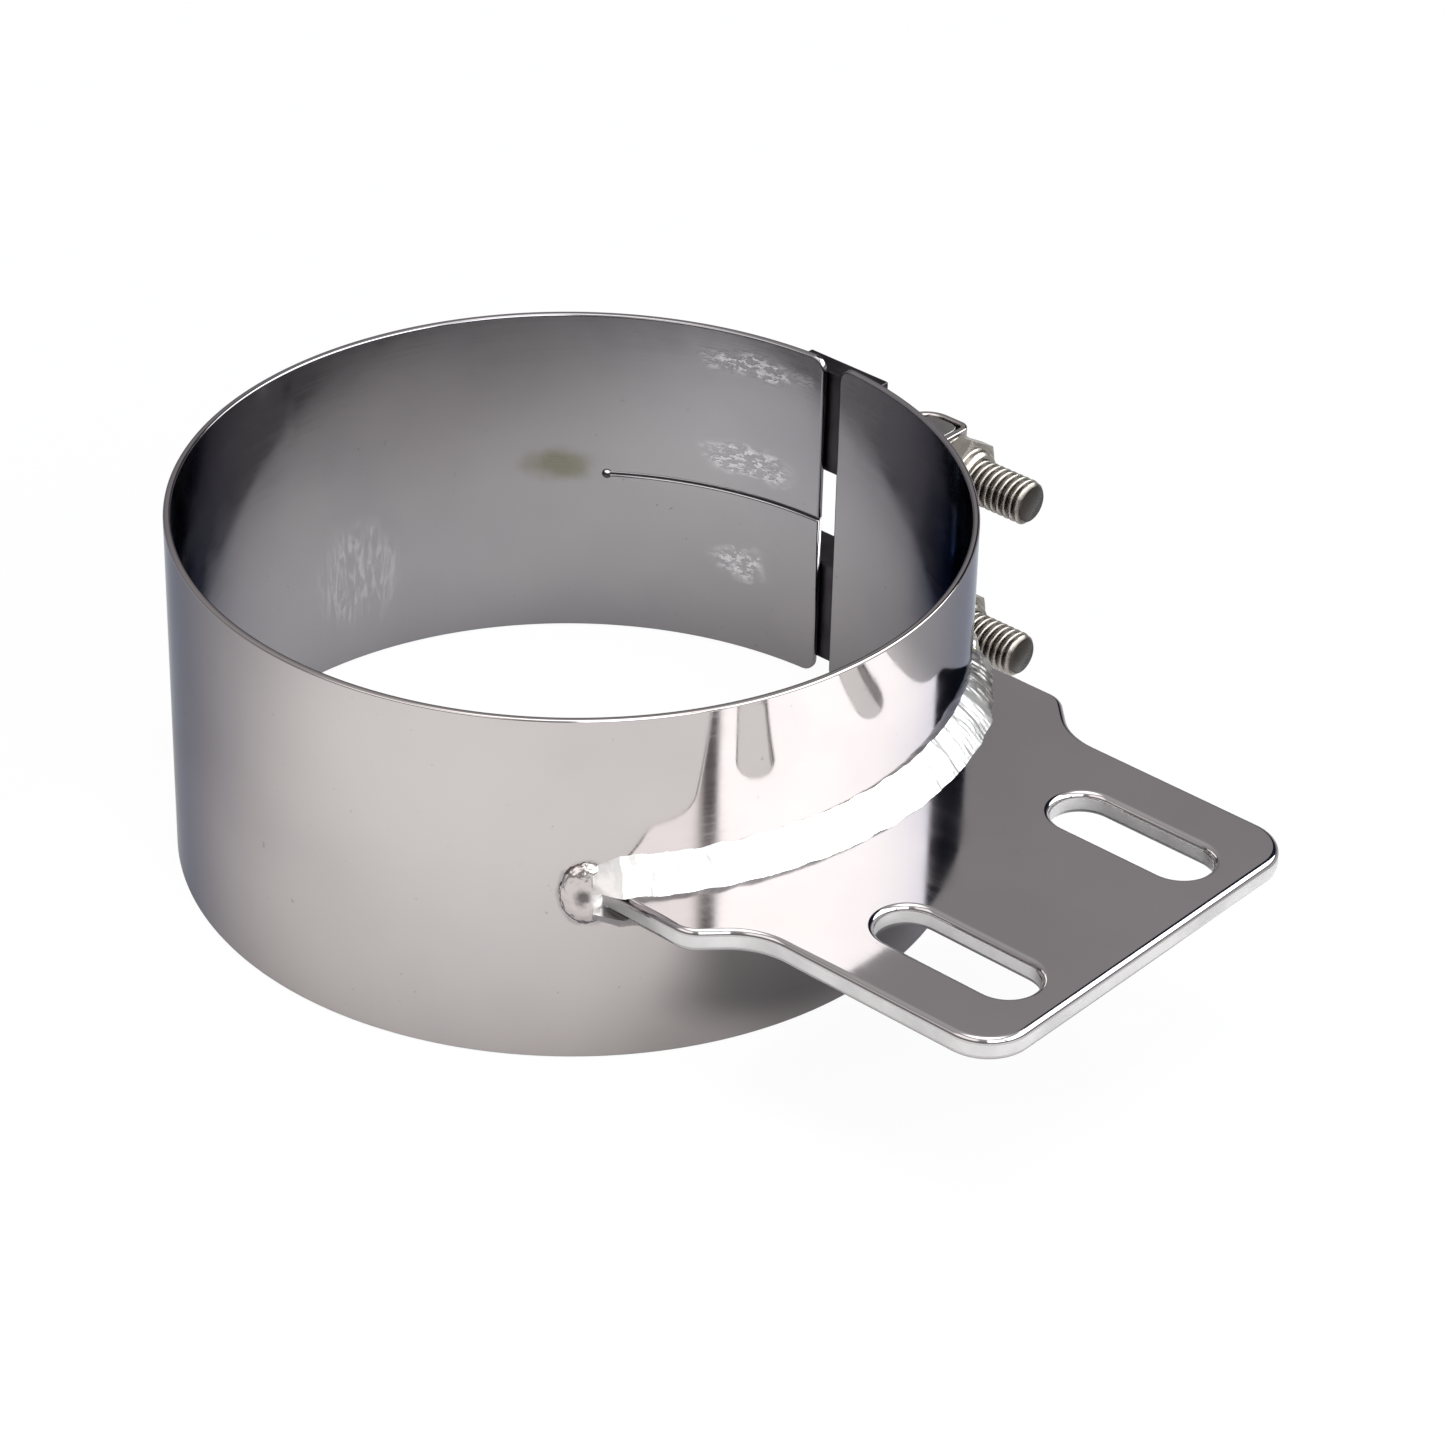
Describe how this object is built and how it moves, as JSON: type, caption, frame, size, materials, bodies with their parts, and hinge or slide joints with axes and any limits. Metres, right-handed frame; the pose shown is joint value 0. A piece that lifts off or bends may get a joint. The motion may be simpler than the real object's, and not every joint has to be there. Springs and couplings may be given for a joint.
{
  "type": "band clamp with mounting bracket",
  "caption": "Wide stainless butt-joint band clamp for pipe, closed by T-bolts behind its gap, with a welded slotted mounting bracket.",
  "frame": {"origin": "centre of the bracket's slot pattern, on the plate's upper face", "axes": "+Z out of the bracket's upper face and along the pipe's axis, +X from the pipe towards the bracket's end, +Y towards the band's gap and its bolts"},
  "size_m": [0.2194, 0.1716, 0.074],
  "materials": {
    "polished_band": "mirror-polished stainless steel, warm grey",
    "polished_plate": "polished stainless plate with rounded bright edges",
    "polished_strap": "polished stainless strap",
    "weld_metal": "bright rippled weld, straw and blue heat tint at its ends",
    "block_steel": "satin grey steel",
    "fastener_steel": "bright warm-grey fastener steel"
  },
  "bodies": {
    "root": {"band_bracket_half": "polished_band", "bracket_plate": "polished_plate", "weld_bead_top": "weld_metal", "weld_bead_bottom": "weld_metal", "weld_end_right": "weld_metal", "weld_end_left": "weld_metal", "upper_nut_loop": "polished_strap", "lower_nut_loop": "polished_strap", "upper_reaction_block": "block_steel", "lower_reaction_block": "block_steel", "upper_anchor_block": "block_steel", "lower_anchor_block": "block_steel"},
    "free_half": {"band_free_half": "polished_band", "upper_trunnion_loop": "polished_strap", "lower_trunnion_loop": "polished_strap"},
    "upper_bolt_body": {"upper_bolt": "fastener_steel", "upper_trunnion": "fastener_steel"},
    "lower_bolt_body": {"lower_bolt": "fastener_steel", "lower_trunnion": "fastener_steel"},
    "upper_washer_body": {"upper_washer": "fastener_steel"},
    "lower_washer_body": {"lower_washer": "fastener_steel"},
    "upper_nut_body": {"upper_nut": "fastener_steel"},
    "lower_nut_body": {"lower_nut": "fastener_steel"}
  },
  "joints": [
    {"name": "band_flex", "type": "hinge", "parent": "root", "child": "free_half", "pos_m": [-0.1176, -0.07695, -0.00238], "axis": [0, 0, 1], "range_deg": [-1.4, 3], "stiffness_Nm_per_rad": 22},
    {"name": "upper_bolt_swivel", "type": "hinge", "parent": "free_half", "child": "upper_bolt_body", "pos_m": [-0.1402, 0.0867, 0.01542], "axis": [0, 0, 1], "range_deg": [-3.1, 1.5]},
    {"name": "lower_bolt_swivel", "type": "hinge", "parent": "free_half", "child": "lower_bolt_body", "pos_m": [-0.1402, 0.0867, -0.02018], "axis": [0, 0, 1], "range_deg": [-3.1, 1.5]},
    {"name": "upper_washer_slide", "type": "slide", "parent": "upper_bolt_body", "child": "upper_washer_body", "axis": [1, 0, 0], "range_m": [-0.0041, 0.0087]},
    {"name": "lower_washer_slide", "type": "slide", "parent": "lower_bolt_body", "child": "lower_washer_body", "axis": [1, 0, 0], "range_m": [-0.0041, 0.0087]},
    {"name": "upper_nut_spin", "type": "hinge", "parent": "upper_washer_body", "child": "upper_nut_body", "pos_m": [-0.0906, 0.0867, 0.01542], "axis": [1, 0, 0], "range_deg": [-915, 1950]},
    {"name": "lower_nut_spin", "type": "hinge", "parent": "lower_washer_body", "child": "lower_nut_body", "pos_m": [-0.0906, 0.0867, -0.02018], "axis": [1, 0, 0], "range_deg": [-915, 1950]}
  ],
  "couplings": [
    {"joint": "upper_bolt_swivel", "follows": "band_flex", "ratio": -1},
    {"joint": "lower_bolt_swivel", "follows": "band_flex", "ratio": -1},
    {"joint": "upper_washer_slide", "follows": "band_flex", "m_per_rad": 0.16365},
    {"joint": "lower_washer_slide", "follows": "band_flex", "m_per_rad": 0.16365},
    {"joint": "upper_nut_spin", "follows": "band_flex", "ratio": 647.7},
    {"joint": "lower_nut_spin", "follows": "band_flex", "ratio": 647.7}
  ]
}
